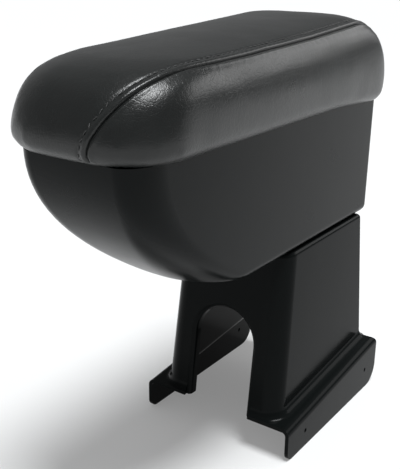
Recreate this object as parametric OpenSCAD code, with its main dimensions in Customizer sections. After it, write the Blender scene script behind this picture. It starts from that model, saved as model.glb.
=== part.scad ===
// Car centre armrest: a padded lid, hinged at the rear of a boat-shaped storage bin,
// which is screwed to a saddle-shaped base that straddles the ridge between the seats.
// Origin: middle of the lid's length, on the centre plane, at the flanges' lower edges.
// +X is across the car, -Y is the front (the bin's prow) and +Z is up. Millimetres.

/* [Lid] */
// Length of the padded lid
lid_l = 320; // [290:1:345]
// Width of the padded lid
lid_w = 119; // [110:1:130]
// Pad height at its front
lid_h_front = 51; // [44:0.5:60]
// Pad height at its rear
lid_h_rear = 63.5; // [50:0.5:70]
// Plan radius of the lid's front corners
lid_front_r = 42; // [30:1:50]
// Plan radius of the lid's rear corners
lid_rear_r = 26; // [20:1:40]
// How far the lid's lower edge rolls in
lid_roll_in = 9.5; // [5:0.5:10]
// Height of the rolled lower edge
lid_roll_h = 9.5; // [8:0.5:14]
// Length of the rounding at the pad's front
nose_front = 50; // [40:1:70]
// Length of the rounding at the pad's rear
nose_rear = 80; // [60:1:90]
// Distance of each seam from the centre plane
seam_x = 49; // [42:1:52]
// Distance of each seam from the centre plane at the front end
seam_front_x = 25; // [15:1:40]
// Distance of each seam from the centre plane at the rear end
seam_rear_x = 34; // [20:1:45]
// Length over which the seams draw in at the front
seam_front_l = 75; // [50:1:100]
// Length over which the seams draw in at the rear
seam_rear_l = 55; // [40:1:80]
// Thickness of the cover material
cover_t = 1.5; // [1:0.1:2.5]
// Width of the hem that is tucked under the lid
hem_w = 16; // [12:1:20]
// Wall of the moulded lid board
board_t = 3; // [2:0.5:4]
// Height of the lid board's turned-up edge
board_rim_h = 9; // [6:0.5:12]

/* [Bin] */
// Height of the bin from its floor to its rim
bin_h = 99.5; // [85:0.5:115]
// Width of the bin at its rim
bin_w = 96; // [90:1:98]
// Wall and floor of the bin
bin_wall = 3; // [2:0.5:4]
// How far the prow's foot lies behind its rim
prow_l = 88; // [70:1:100]
// Steepness of the prow's curve
prow_power = 2.2; // [1.6:0.1:2.8]
// Width of the prow's corner curves at the rim
prow_rim_rx = 13; // [9:1:20]
// Length of the prow's corner curves at the rim
prow_rim_ry = 21; // [12:1:30]
// Width of the bow's corner curves at the floor
prow_foot_rx = 41; // [30:1:43]
// Length of the bow's corner curves at the floor
prow_foot_ry = 135; // [80:1:140]
// Inward draft of each wall over the bin's height
bin_draft = 0.5; // [0:0.5:1.5]
// Rounding of the bin's lower edge
bin_edge_r = 6.5; // [5:0.5:9]
// Corner radius of the bin's rear corners
bin_rear_r = 8; // [6:1:14]
// Distance of the bin's rear wall from the lid's rear edge
bin_rear_gap = 6; // [6:0.5:10]
// Distance of the bin's front edge from the lid's front edge
bin_front_gap = 9; // [7:0.5:16]
// Radius of the swell across the foot of the rear wall
swell_r = 9; // [6:0.5:10]
// How far the swell stands out
swell_out = 5; // [3:0.5:6]

/* [Base] */
// Height of the tower's top
base_h = 156; // [130:1:190]
// Length of the base over its ledge
base_l = 156; // [140:1:170]
// Width of the base over its flanges
base_w = 133; // [125:1:145]
// Distance of the base's rear edge from the lid's rear edge
base_rear_gap = 6; // [2:1:12]
// Wall of the moulded base
base_wall = 3; // [2:0.5:4]
// Width of the tower at its top
tower_w = 97; // [92:1:102]
// Set-back of the tower's top behind the base's front edge
tower_front = 19; // [16:1:24]
// Set-back of the tower's top before the base's rear edge
tower_rear = 13; // [11:1:20]
// How far the front wall flares out to its foot
front_flare = 16; // [8:1:16]
// How far each side wall flares out to its foot
side_flare = 4.5; // [3:0.5:5]
// How far the rear wall flares out to its foot
rear_flare = 8; // [3:1:8]
// Radius of the tower's front corners
tower_r = 14; // [10:1:18]
// Radius of the tower's rear corners
tower_rear_r = 4; // [4:1:12]
// Height of the ledge at its front edge
ledge_front_h = 27; // [22:0.5:32]
// Height of the ledge at its rear edge
ledge_rear_h = 40.5; // [34:0.5:46]
// Radius of the cove where the tower's sides meet the ledge
cove_r = 7; // [4:0.5:7]
// Reach of the cove at the front and rear walls
cove_end = 3; // [1.5:0.5:3]
// Radius of the fold between ledge and flange
fold_r = 6; // [4.5:0.5:8]
// Half width of the arch in the front wall
arch_r = 26; // [20:0.5:30]
// Height of the arch's crown
arch_h = 105.5; // [85:0.5:115]
// Depth of the arch's turned-in rim
arch_rim = 8; // [5:0.5:12]

/* [Flange holes] */
// Radius of the screw holes in the flanges
flange_hole_r = 1.75; // [1.5:0.05:2.5]
// Front hole's distance from the base's front edge
hole_front_y = 27; // [20:0.5:35]
// Front hole's height
hole_front_z = 14; // [11:0.5:16]
// Rear hole's distance from the base's rear edge
hole_rear_y = 21.5; // [16:0.5:30]
// Rear hole's height
hole_rear_z = 18; // [13:0.5:22]

/* [Bin fixing] */
// Screw radius
fix_r = 2.5; // [2:0.25:3]
// Distance between the screws across the base
fix_dx = 46; // [38:1:46]
// Distance between the screws along the base
fix_dy = 70; // [50:1:80]
// Washer outer radius
washer_r = 6.5; // [5.5:0.5:8]
// Washer thickness
washer_t = 1.2; // [1:0.1:1.5]
// Clamp plate thickness
plate_t = 3; // [2:0.5:4]
// Nut width across its flats
nut_af = 8; // [7:0.5:9]
// Nut height
nut_h = 4; // [3.5:0.5:5]
// Thickness of the rubber mat on the bin's floor
mat_t = 2.5; // [2:0.5:3.5]

/* [Hinge] */
// Length of the hinge
hinge_l = 70; // [60:1:74]
// Outer radius of the knuckles
knuckle_r = 2.8; // [2.6:0.1:3]
// Radius of the pin
pin_r = 1.5; // [1.2:0.1:1.7]
// Thickness of the leaves
leaf_t = 1.5; // [1.2:0.1:1.8]
// Depth of each leaf
leaf_w = 24; // [22:1:28]
// Number of knuckles
knuckles = 5; // [3:2:7]
// Hinge screw radius
hinge_screw_r = 1.5; // [1.25:0.05:1.75]

/* [Lining] */
// Thickness of the lining panel
lining_t = 2; // [1.5:0.5:2.5]
// Height of its locating rib
rib_h = 4; // [3:0.5:6]
// Lining screw radius
lining_screw_r = 1.5; // [1.25:0.05:1.75]

/* [Clearances] */
// Height of the shadow gap between rim and lid
lid_gap = 2; // [1.8:0.1:3]
// Gap at soft pieces and stops
soft_gap = 0.3; // [0.2:0.05:0.5]
// Radial gap between pin and knuckle
pin_gap = 0.05; // [0.02:0.01:0.1]
// Radial gap round a screw in its hole
screw_gap = 0.25; // [0.2:0.05:0.4]
// Gap between knuckles
knuckle_gap = 0.3; // [0.2:0.05:0.5]

/* [Hidden] */
$fn = 48;
tiny = 0.01;
far = 1000;

// Main planes and edges
lid_front = -lid_l / 2;
lid_rear = lid_l / 2;
bin_front = lid_front + bin_front_gap;
bin_rear = lid_rear - bin_rear_gap;
base_rear = lid_rear - base_rear_gap;
base_front = base_rear - base_l;
rim_z = base_h + bin_h;
lid_z = rim_z + lid_gap;
board_z = lid_z + cover_t;
hinge_y = bin_rear + knuckle_r + soft_gap;
hinge_z = lid_z - knuckle_r - soft_gap;

// Points of an arc in the plane, centre c, from angle a0 to a1
function arc(c, r, a0, a1, n) =
  [for (i = [0:n]) let (a = a0 + (a1 - a0) * i / n) [c[0] + r * cos(a), c[1] + r * sin(a)]];

// Outline with round corners, counter-clockwise, front corners rf and rear corners rr
function outline(hw, y0, y1, rf, rr, n) = concat(
  arc([hw - rf, y0 + rf], rf, -90, 0, n),
  arc([hw - rr, y1 - rr], rr, 0, 90, n),
  arc([rr - hw, y1 - rr], rr, 90, 180, n),
  arc([rf - hw, y0 + rf], rf, 180, 270, n));

// The same outline lifted on to a plane that rises by slope along Y from height z at y = 0
function ring(hw, y0, y1, rf, rr, z, slope = 0, n = 7) =
  [for (p = outline(hw, y0, y1, rf, rr, n)) [p[0], p[1], z + slope * p[1]]];

// Closed solid through rings of equally many points, lowest ring first
module loft(rings) {
  n = len(rings[0]);
  m = len(rings);
  polyhedron(
    points = [for (r = rings) each r],
    faces = concat(
      [[for (i = [0:n - 1]) i]],
      [[for (i = [n - 1:-1:0]) (m - 1) * n + i]],
      [for (j = [0:m - 2], i = [0:n - 1])
        let (a = j * n + i, b = j * n + (i + 1) % n) [a, a + n, b]],
      [for (j = [0:m - 2], i = [0:n - 1])
        let (b = j * n + (i + 1) % n, a = j * n + i) [a + n, b + n, b]]),
    convexity = 6);
}

// Flat plate with round corners
module plate(hw, y0, y1, rf, rr, z0, z1) {
  translate([0, 0, z0])
    linear_extrude(z1 - z0)
      polygon(outline(hw, y0, y1, rf, rr, 8));
}

// Cylinder along X, centred on the centre plane
module x_rod(r, l, y, z) {
  translate([-l / 2, y, z])
    rotate([0, 90, 0])
      cylinder(r = r, h = l);
}

// Pad

pad_mid_z = lid_z + lid_roll_h;
// Share of each nose that is left out where the pad's rise is spread over its length
nose_share = 0.6;
pad_slope = (lid_h_rear - lid_h_front) / (lid_l - (nose_front + nose_rear) * nose_share);
pad_centre_h = (lid_h_front + lid_h_rear) / 2 - lid_roll_h;
// Cross-section and lengthwise section are superellipses of these powers
side_power = 4.1;
nose_power = 2.2;
roll_steps = [1, 0.92, 0.75, 0.5, 0.2];
pad_steps = [0, 0.3, 0.5, 0.65, 0.77, 0.86, 0.925, 0.965, 0.988];
cap_height = 0.999;

// Share of its full size that a superellipse has left at height share h
function left_at(h, power) = pow(1 - pow(h, power), 1 / power);

// Ring of the pad's lower edge, v from 0 at the widest place to 1 at the bottom
function roll_ring(v, inset) =
  let (e = lid_roll_in * (1 - sqrt(1 - v * v)) + inset)
  ring(lid_w / 2 - e, lid_front + e, lid_rear - e, lid_front_r - e / 2, lid_rear_r - e / 2,
    pad_mid_z - v * (lid_roll_h - inset));

// Ring of the pad's upper part at height share h
function pad_ring(h, inset) =
  let (
    ex = lid_w / 2 * (1 - left_at(h, side_power)) + inset,
    round_off = 1 - left_at(h, nose_power),
    y0 = lid_front + nose_front * round_off + inset,
    y1 = lid_rear - nose_rear * round_off - inset,
    hw = max(lid_w / 2 - ex, 4),
    r = min(hw - 1, lid_front_r - ex / 3),
    rr = min(hw - 1, lid_rear_r - ex / 3),
    z = pad_mid_z + (pad_centre_h - inset) * h)
  ring(hw, y0, y1, r, rr, z, pad_slope * h);

module pad_form(inset = 0) {
  loft(concat(
    [for (v = roll_steps) roll_ring(v, inset)],
    [for (h = pad_steps) pad_ring(h, inset)],
    [pad_ring(cap_height, inset)]));
}

// Distance of the seam from the centre plane, u from 0 where it starts to draw in to 1 at the end
function seam_curve(u, end_x) = end_x + (seam_x - end_x) * pow(1 - pow(u, 1.6), 0.6);

seam_steps = [1, 0.97, 0.9, 0.78, 0.62, 0.42, 0.2, 0];
seam_line = concat(
  [[seam_front_x, 2 * lid_front]],
  [for (u = seam_steps)
    [seam_curve(u, seam_front_x), lid_front + seam_front_l * (1 - u)]],
  [for (i = [len(seam_steps) - 1:-1:0])
    [seam_curve(seam_steps[i], seam_rear_x), lid_rear - seam_rear_l * (1 - seam_steps[i])]],
  [[seam_rear_x, 2 * lid_rear]]);

// Upright block between the seams, grown by g on each side
module between_seams(g) {
  right_side = [for (p = seam_line) [p[0] + g, p[1]]];
  left_side = [for (i = [len(seam_line) - 1:-1:0]) [-seam_line[i][0] - g, seam_line[i][1]]];
  linear_extrude(far)
    polygon(concat(right_side, left_side));
}

// Upright block that fills one side of the centre plane
module half_space(side) {
  translate([side > 0 ? 0 : -far, -far, 0])
    cube([far, 2 * far, far]);
}

// Edges of the window inside the hem
hem_hw = lid_w / 2 - lid_roll_in - hem_w;
hem_front = lid_front + lid_roll_in + hem_w;
hem_rear = lid_rear - lid_roll_in - hem_w;
hem_front_r = lid_front_r - hem_w;

// The whole cover: pad form with the foam and board hollowed out and the hem's window cut
module cover_shell() {
  difference() {
    pad_form();
    pad_form(cover_t);
    plate(hem_hw, hem_front, hem_rear, hem_front_r, lid_rear_r - hem_w, lid_z - 1, board_z + 1);
    hinge_lid_screw_holes(hinge_screw_r + screw_gap);
  }
}

module cover_centre_panel() {
  color([0.13, 0.14, 0.14])
    intersection() {
      cover_shell();
      between_seams(-soft_gap / 2);
    }
}

module cover_side_panel(side) {
  color([0.11, 0.12, 0.12])
    intersection() {
      difference() {
        cover_shell();
        between_seams(soft_gap / 2);
      }
      half_space(side);
    }
}

// Lid board: a moulded tray that follows the pad's rolled lower edge
board_inset = cover_t + soft_gap;
board_top = board_z + soft_gap + board_t;

module board_outer() {
  intersection() {
    pad_form(board_inset);
    translate([-far, -far, 0])
      cube([2 * far, 2 * far, board_z + soft_gap + board_rim_h]);
  }
}

module board_cavity() {
  plate(lid_w / 2 - lid_roll_in - board_inset - board_t / 2,
    lid_front + lid_roll_in + board_inset + board_t / 2,
    lid_rear - lid_roll_in - board_inset - board_t / 2,
    lid_front_r - lid_roll_in, lid_rear_r - lid_roll_in,
    board_top, board_top + far);
}

module lid_board() {
  color([0.1, 0.1, 0.1])
    difference() {
      union() {
        difference() {
          board_outer();
          board_cavity();
        }
        board_bosses();
      }
      lining_screw_holes(lining_screw_r + screw_gap, board_z - 1, board_z + board_t + boss_h - 2);
      hinge_lid_screw_holes(hinge_screw_r + screw_gap);
    }
}

// Bosses on the board that take the lining's screws
boss_h = 5;
boss_r = 4;
lining_side_gap = 5;
lining_front_gap = 7;
lining_hw = bin_w / 2 - bin_wall - lining_side_gap;
lining_front = bin_front + bin_wall + lining_front_gap;
lining_rear = hinge_y - leaf_w - lining_side_gap;
lining_r = 26;
lining_rear_r = 6;
lining_rear_inset = 9;
rib_inset = 2;
rib_t = 2;
// The lining's screws stand just inside the hem's window
lining_screw_x = hem_hw - boss_r - 2 * soft_gap;
lining_ys = [hem_front + hem_front_r, (lining_front + lining_rear) / 2,
  lining_rear - lining_rear_inset];

module at_lining_screws() {
  for (s = [-1, 1], y = lining_ys) {
    translate([s * lining_screw_x, y, 0])
      children();
  }
}

module board_bosses() {
  at_lining_screws()
    translate([0, 0, board_top - tiny])
      cylinder(r = boss_r, h = boss_h);
}

module lining_screw_holes(r, z0, z1) {
  at_lining_screws()
    translate([0, 0, z0])
      cylinder(r = r, h = z1 - z0);
}

module lid_foam() {
  color([0.25, 0.25, 0.24])
    difference() {
      pad_form(board_inset);
      translate([-far, -far, 0])
        cube([2 * far, 2 * far, board_top + soft_gap]);
      difference() {
        translate([-far, -far, 0])
          cube([2 * far, 2 * far, board_z + 2 * soft_gap + board_rim_h]);
        plate(lid_w / 2 - lid_roll_in - board_inset - board_t / 2 - soft_gap,
          lid_front + lid_roll_in + board_inset + board_t / 2 + soft_gap,
          lid_rear - lid_roll_in - board_inset - board_t / 2 - soft_gap,
          lid_front_r - lid_roll_in - soft_gap, lid_rear_r - lid_roll_in - soft_gap,
          board_top, board_top + far);
      }
      at_lining_screws()
        translate([0, 0, board_top - 1])
          cylinder(r = boss_r + soft_gap, h = boss_h + 1 + soft_gap);
      hinge_lid_screw_holes(hinge_screw_r + screw_gap + soft_gap);
    }
}

// Lining: the moulded inner panel, with a rib that locates in the bin's mouth
lining_top = lid_z;

module lining_plate(inset, z0, z1) {
  plate(lining_hw - inset, lining_front + inset, lining_rear - inset, lining_r - inset,
    lining_rear_r - inset, z0, z1);
}

module lid_lining() {
  color([0.12, 0.12, 0.12])
    difference() {
      union() {
        lining_plate(0, lining_top - lining_t, lining_top);
        difference() {
          lining_plate(rib_inset, lining_top - lining_t - rib_h, lining_top - lining_t + tiny);
          lining_plate(rib_inset + rib_t, lining_top - lining_t - rib_h - 1, lining_top - lining_t);
        }
        at_lining_screws()
          translate([0, 0, lining_top - tiny])
            cylinder(r = boss_r, h = board_z + soft_gap - lining_top);
      }
      lining_screw_holes(lining_screw_r + screw_gap, lining_top - lining_t - 1, board_z + 1);
    }
}

module lining_screws() {
  color("dimgray")
    at_lining_screws()
      pan_screw(lining_screw_r, lining_top - lining_t, board_z + board_t + boss_h - 3);
}

// Pan-head screw along Z: head below z0, shank from z0 up to z1
module pan_screw(r, z0, z1) {
  head_r = 1.9 * r;
  head_h = 1.1 * r;
  difference() {
    union() {
      translate([0, 0, z0 - head_h])
        cylinder(r1 = head_r * 0.8, r2 = head_r, h = head_h / 2);
      translate([0, 0, z0 - head_h / 2])
        cylinder(r = head_r, h = head_h / 2);
      translate([0, 0, z0 - tiny])
        cylinder(r = r, h = z1 - z0 + tiny);
    }
    cross_slot(r, z0 - head_h);
  }
}

// Cross recess in a screw's head, opening downwards
module cross_slot(r, z) {
  for (a = [0, 90]) {
    translate([0, 0, z])
      rotate([0, 0, a])
        cube([2 * r, 0.4 * r, 1.0 * r], center = true);
  }
}

// Rubber stops under the lid, over the bin's rim
stop_r = 3;
stop_front = 50;
stop_rear = 32;

module bump_stops() {
  color([0.08, 0.08, 0.08])
    for (s = [-1, 1], y = [bin_front + stop_front, bin_rear - stop_rear]) {
      translate([s * (bin_w / 2 - bin_wall / 2), y, rim_z + soft_gap])
        cylinder(r = stop_r, h = lid_gap - soft_gap);
    }
}

// Bin

// Heights of the bin's rings as shares of its height
bin_steps = [0, 0.008, 0.023, 0.042, 0.066, 0.11, 0.18, 0.27, 0.38, 0.5, 0.63, 0.76, 0.88, 1];

// Inset of the rounded lower edge at height h above the floor
function edge_inset(h, r) = h >= r ? 0 : r - sqrt(max(r * r - (r - h) * (r - h), 0));

// Share of the edge rounding by which the front and rear ends draw in
prow_edge_share = 0.5;
rear_edge_share = 0.4;

// Ring of the bin at height h: its front corners are elliptical, and grow to a bow at the floor
function bin_ring(h, inset) =
  let (
    t = h / bin_h,
    e = edge_inset(h, bin_edge_r),
    hw = bin_w / 2 - bin_draft * (1 - t) - e - inset,
    y0 = bin_front + prow_l * pow(1 - t, prow_power) + inset + e * prow_edge_share,
    y1 = bin_rear - bin_draft * (1 - t) - e * rear_edge_share - inset,
    rx = min(prow_foot_rx + (prow_rim_rx - prow_foot_rx) * t - inset, hw - 1),
    ry = prow_foot_ry + (prow_rim_ry - prow_foot_ry) * t - inset,
    rr = bin_rear_r - inset)
  [for (p = bow_outline(hw, y0, y1, rx, ry, rr, 8)) [p[0], p[1], base_h + h]];

// Outline with elliptical front corners, counter-clockwise
function bow_outline(hw, y0, y1, rx, ry, rr, n) = concat(
  [for (i = [0:n]) let (a = 90 * i / n - 90) [hw - rx + rx * cos(a), y0 + ry + ry * sin(a)]],
  arc([hw - rr, y1 - rr], rr, 0, 90, n),
  arc([rr - hw, y1 - rr], rr, 90, 180, n),
  [for (i = [0:n]) let (a = 180 + 90 * i / n) [rx - hw + rx * cos(a), y0 + ry + ry * sin(a)]]);

module bin_outer() {
  loft([for (s = bin_steps) bin_ring(s * bin_h, 0)]);
}

module bin_inner() {
  loft(concat(
    [for (s = bin_steps) if (s * bin_h < bin_h - bin_wall - 1)
      shift_up(bin_ring(s * bin_h, bin_wall), bin_wall)],
    [shift_up(bin_ring(bin_h - tiny, bin_wall), 1)]));
}

function shift_up(pts, dz) = [for (p = pts) [p[0], p[1], p[2] + dz]];

// Swell moulded across the foot of the rear wall
swell_inset = 4;
swell_up = 2;

module bin_swell() {
  swell_hw = bin_w / 2 - swell_inset;
  y = bin_rear + swell_out - swell_r - bin_draft;
  z = base_h + swell_r + swell_up;
  intersection() {
    union() {
      x_rod(swell_r, 2 * (swell_hw - swell_r), y, z);
      for (s = [-1, 1]) {
        translate([s * (swell_hw - swell_r), y, z])
          sphere(r = swell_r);
      }
    }
    translate([-far, bin_rear - bin_draft - bin_wall, 0])
      cube([2 * far, far, far]);
  }
}

module storage_bin() {
  color([0.12, 0.13, 0.13])
    difference() {
      union() {
        difference() {
          bin_outer();
          bin_inner();
        }
        bin_swell();
      }
      fix_holes(fix_r + screw_gap, base_h - 1, base_h + bin_wall + 1);
      hinge_bin_screw_holes(hinge_screw_r + screw_gap);
    }
}

// Screws that hold the bin on the tower

fix_y = (base_front + tower_front + base_rear - tower_rear) / 2;

module at_fixings() {
  for (sx = [-1, 1], sy = [-1, 1]) {
    translate([sx * fix_dx / 2, fix_y + sy * fix_dy / 2, 0])
      children();
  }
}

module fix_holes(r, z0, z1) {
  at_fixings()
    translate([0, 0, z0])
      cylinder(r = r, h = z1 - z0);
}

floor_z = base_h + bin_wall;
fix_bottom = base_h - base_wall - plate_t - nut_h - 2;

module bin_screws() {
  color("silver")
    at_fixings()
      translate([0, 0, floor_z + washer_t])
        mirror([0, 0, 1])
          pan_screw(fix_r, 0, floor_z + washer_t - fix_bottom);
}

module bin_washers() {
  color("silver")
    at_fixings()
      translate([0, 0, floor_z])
        difference() {
          cylinder(r = washer_r, h = washer_t);
          translate([0, 0, -1])
            cylinder(r = fix_r + screw_gap, h = washer_t + 2);
        }
}

plate_z = base_h - base_wall - plate_t;
plate_margin = 10;

module clamp_plate() {
  color("gray")
    difference() {
      plate(fix_dx / 2 + plate_margin, fix_y - fix_dy / 2 - plate_margin,
        fix_y + fix_dy / 2 + plate_margin, 6, 6, plate_z, base_h - base_wall);
      fix_holes(fix_r + screw_gap, plate_z - 1, base_h);
      plate(fix_dx / 2 - plate_margin - 3, fix_y - fix_dy / 2 + plate_margin,
        fix_y + fix_dy / 2 - plate_margin, 5, 5, plate_z - 1, base_h);
    }
}

module lock_nuts() {
  color("silver")
    at_fixings()
      translate([0, 0, plate_z - nut_h])
        difference() {
          cylinder(r = nut_af / sqrt(3), h = nut_h, $fn = 6);
          translate([0, 0, -1])
            cylinder(r = fix_r + screw_gap, h = nut_h + 2);
        }
}

// Rubber mat on the bin's floor, ribbed, with a round window over each screw
mat_edge = 2;
groove_n = 9;
groove_w = 1.6;
groove_d = 0.7;

module bin_mat() {
  mat_hw = bin_w / 2 - bin_draft - bin_edge_r - bin_wall - mat_edge;
  mat_line = bin_ring(0, bin_wall + mat_edge);
  mat_front = min([for (p = mat_line) p[1]]);
  mat_rear = max([for (p = mat_line) p[1]]);
  color([0.09, 0.09, 0.09])
    difference() {
      translate([0, 0, floor_z])
        linear_extrude(mat_t)
          polygon([for (p = mat_line) [p[0], p[1]]]);
      at_fixings()
        translate([0, 0, floor_z - 1])
          cylinder(r = washer_r + 1, h = mat_t + 2);
      for (i = [0:groove_n - 1]) {
        translate([(i - (groove_n - 1) / 2) * 2 * mat_hw / (groove_n + 1) - groove_w / 2,
          mat_front - 1, floor_z + mat_t - groove_d])
          cube([groove_w, mat_rear - mat_front + 2, 2]);
      }
    }
}

// Base

ledge_slope = (ledge_rear_h - ledge_front_h) / base_l;
ledge_angle = atan(ledge_slope);
ledge_z0 = ledge_front_h - ledge_slope * base_front;
tower_top_front = base_front + tower_front;
tower_top_rear = base_rear - tower_rear;
// The cove starts a little below the ledge's face, so that the two never lie in one plane
cove_sink = 0.2;
top_round = 3.5;

// Ring of the tower at height share t from its foot on the ledge to its top
function tower_ring(t, out, drop, inset) =
  let (
    hw = tower_w / 2 + side_flare * (1 - t) + out - inset,
    end_out = out > 0 ? out * cove_end / cove_r : out,
    y0 = tower_top_front - front_flare * (1 - t) - end_out + inset,
    y1 = tower_top_rear + rear_flare * (1 - t) + end_out - inset,
    rf = tower_r + out - inset,
    rr = max(tower_rear_r + out - inset, 0.5),
    z = (1 - t) * ledge_z0 + t * base_h + drop)
  ring(hw, y0, y1, rf, rr, z, ledge_slope * (1 - t), 8);

// Tower solid: the cove at its foot, the drafted walls and the rounded top edge
module tower_form(inset) {
  cove_t = cove_r / (base_h - ledge_z0);
  top_t = top_round / (base_h - ledge_z0);
  loft(concat(
    [tower_ring(0, cove_r, -base_wall - inset, inset)],
    [for (a = [0, 30, 60, 90])
      tower_ring(cove_t * sin(a), cove_r * (1 - sin(a)) * (1 - sin(a)), -inset - cove_sink, inset)],
    [for (a = [0, 30, 60, 90])
      tower_ring(1 - top_t * (1 - sin(a)), -top_round * (1 - cos(a)), -inset, inset)]));
}

// Ledge and flanges: an upside-down U, folded at the ledge's outer edges
module skirt_section(inset) {
  r = fold_r - inset;
  hw = base_w / 2 - inset;
  polygon(concat(
    [[-hw, -2 * base_h], [hw, -2 * base_h]],
    arc([hw - r, -inset - r], r, 0, 90, 6),
    arc([r - hw, -inset - r], r, 90, 180, 6)));
}

module skirt_form(inset) {
  translate([0, base_front, ledge_front_h])
    rotate([90 + ledge_angle, 0, 0])
      translate([0, 0, -1.5 * base_l])
        linear_extrude(2 * base_l)
          skirt_section(inset);
}

// Side view of the skirt, with its rounded lower and rear corners
foot_front_r = 7;
foot_rear_r = 16;
ledge_rear_r = 9;

module skirt_side() {
  outline_yz = concat(
    arc([base_front + foot_front_r, foot_front_r], foot_front_r, 180, 270, 8),
    arc([base_rear - foot_rear_r, foot_rear_r], foot_rear_r, 270, 360, 10),
    arc([base_rear - ledge_rear_r, ledge_rear_h - ledge_rear_r], ledge_rear_r, 0, 80, 8),
    [[base_front, ledge_front_h + 1]]);
  translate([-base_w, 0, 0])
    rotate([90, 0, 90])
      linear_extrude(2 * base_w)
        polygon(outline_yz);
}

// Arch profile in the front wall
module arch_section(r) {
  translate([0, arch_h - arch_r])
    circle(r = r);
  translate([-r, -50])
    square([2 * r, arch_h - arch_r + 50]);
}

front_angle = atan(front_flare / (base_h - ledge_front_h));
arch_foot_y = tower_top_front - front_flare * base_h / (base_h - ledge_front_h);

// Extrudes along the front wall's normal, from depth d0 to d1 behind its outer face
module from_front_wall(d0, d1) {
  translate([0, arch_foot_y, 0])
    rotate([-front_angle, 0, 0])
      rotate([90, 0, 0])
        translate([0, 0, -d1])
          linear_extrude(d1 - d0)
            children();
}

module mounting_base() {
  color([0.09, 0.1, 0.1])
    difference() {
      union() {
        difference() {
          union() {
            intersection() {
              skirt_form(0);
              skirt_side();
            }
            tower_form(0);
          }
          intersection() {
            skirt_form(base_wall);
            translate([-far, -far, -1])
              cube([2 * far, 2 * far, ledge_rear_h + 5]);
          }
          tower_form(base_wall);
        }
        arch_lip();
      }
      from_front_wall(-30, arch_rim + 20)
        arch_section(arch_r);
      fix_holes(fix_r + screw_gap, base_h - base_wall - 1, base_h + 1);
      flange_holes();
    }
}

// Turned-in rim of the arch
module arch_lip() {
  intersection() {
    from_front_wall(1, arch_rim)
      difference() {
        arch_section(arch_r + base_wall);
        arch_section(arch_r - 1);
      }
    translate([-far / 2, -far / 2, ledge_front_h - base_wall])
      cube([far, far, far]);
  }
}

module flange_holes() {
  for (p = [[base_front + hole_front_y, hole_front_z], [base_rear - hole_rear_y, hole_rear_z]]) {
    translate([-base_w, p[0], p[1]])
      rotate([0, 90, 0])
        cylinder(r = flange_hole_r, h = 2 * base_w);
  }
}

// Hinge

leaf_screw_pitch = hinge_l / 4;
knuckle_l = hinge_l / knuckles;

// Knuckles of one leaf: first is 0 or 1
module knuckle_row(first) {
  for (i = [first:2:knuckles - 1]) {
    x_rod_at(knuckle_r, i * knuckle_l - hinge_l / 2 + knuckle_gap / 2, knuckle_l - knuckle_gap);
  }
}

module x_rod_at(r, x, l) {
  translate([x, hinge_y, hinge_z])
    rotate([0, 90, 0])
      cylinder(r = r, h = l);
}

module pin_bore() {
  x_rod(pin_r + pin_gap, hinge_l + 2, hinge_y, hinge_z);
}

// Cuts that free one leaf's plate from the other leaf's knuckles
module knuckle_windows(first) {
  for (i = [first:2:knuckles - 1]) {
    translate([i * knuckle_l - hinge_l / 2 - knuckle_gap / 2, hinge_y - knuckle_r - soft_gap,
      hinge_z - knuckle_r - soft_gap])
      cube([knuckle_l + knuckle_gap, far, 2 * (knuckle_r + soft_gap)]);
  }
}

module hinge_leaf_bin() {
  color("dimgray")
    difference() {
      union() {
        translate([-hinge_l / 2, bin_rear, hinge_z - leaf_w])
          cube([hinge_l, leaf_t, leaf_w]);
        knuckle_row(0);
      }
      difference() {
        knuckle_windows(1);
        knuckle_row(0);
      }
      pin_bore();
      hinge_bin_screw_holes(hinge_screw_r + screw_gap);
    }
}

module hinge_leaf_lid() {
  color("dimgray")
    difference() {
      union() {
        translate([-hinge_l / 2, hinge_y - leaf_w, lid_z - leaf_t])
          cube([hinge_l, leaf_w, leaf_t - soft_gap]);
        knuckle_row(1);
      }
      difference() {
        knuckle_windows(0);
        knuckle_row(1);
      }
      pin_bore();
      hinge_lid_screw_holes(hinge_screw_r + screw_gap);
    }
}

pin_head_r = 2.4;
pin_head_t = 1;

module hinge_pin() {
  color("silver") {
    x_rod(pin_r, hinge_l, hinge_y, hinge_z);
    for (s = [-1, 1]) {
      translate([s * (hinge_l / 2 + pin_head_t / 2), 0, 0])
        x_rod(pin_head_r, pin_head_t, hinge_y, hinge_z);
    }
  }
}

// Places of the hinge screws across the hinge
module at_hinge_screws() {
  for (i = [-1.5:1:1.5]) {
    translate([i * leaf_screw_pitch, 0, 0])
      children();
  }
}

// Places of the screws over each leaf, as shares of its depth
bin_screw_share = 0.62;
lid_screw_share = 0.7;
bin_screw_z = hinge_z - leaf_w * bin_screw_share;
lid_screw_y = hinge_y - leaf_w * lid_screw_share;

module hinge_bin_screw_holes(r) {
  at_hinge_screws()
    translate([0, bin_rear + leaf_t + 1, bin_screw_z])
      rotate([90, 0, 0])
        cylinder(r = r, h = leaf_t + bin_wall + strip_t + 4);
}

module hinge_lid_screw_holes(r) {
  at_hinge_screws()
    translate([0, lid_screw_y, lid_z - leaf_t - 1])
      cylinder(r = r, h = board_top + 5 - lid_z + leaf_t + 1);
}

module hinge_bin_screws() {
  color("silver")
    at_hinge_screws()
      translate([0, bin_rear + leaf_t, bin_screw_z])
        rotate([90, 0, 0])
          pan_screw(hinge_screw_r, 0, leaf_t + bin_wall + strip_t + 1.5);
}

module hinge_lid_screws() {
  color("silver")
    at_hinge_screws()
      translate([0, lid_screw_y, 0])
        pan_screw(hinge_screw_r, lid_z - leaf_t, board_top + 3);
}

// Strip inside the rear wall that takes the hinge's screws
strip_t = 2;
strip_w = 12;
wall_lean = bin_draft * (rim_z - bin_screw_z + strip_w / 2) / bin_h;

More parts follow.
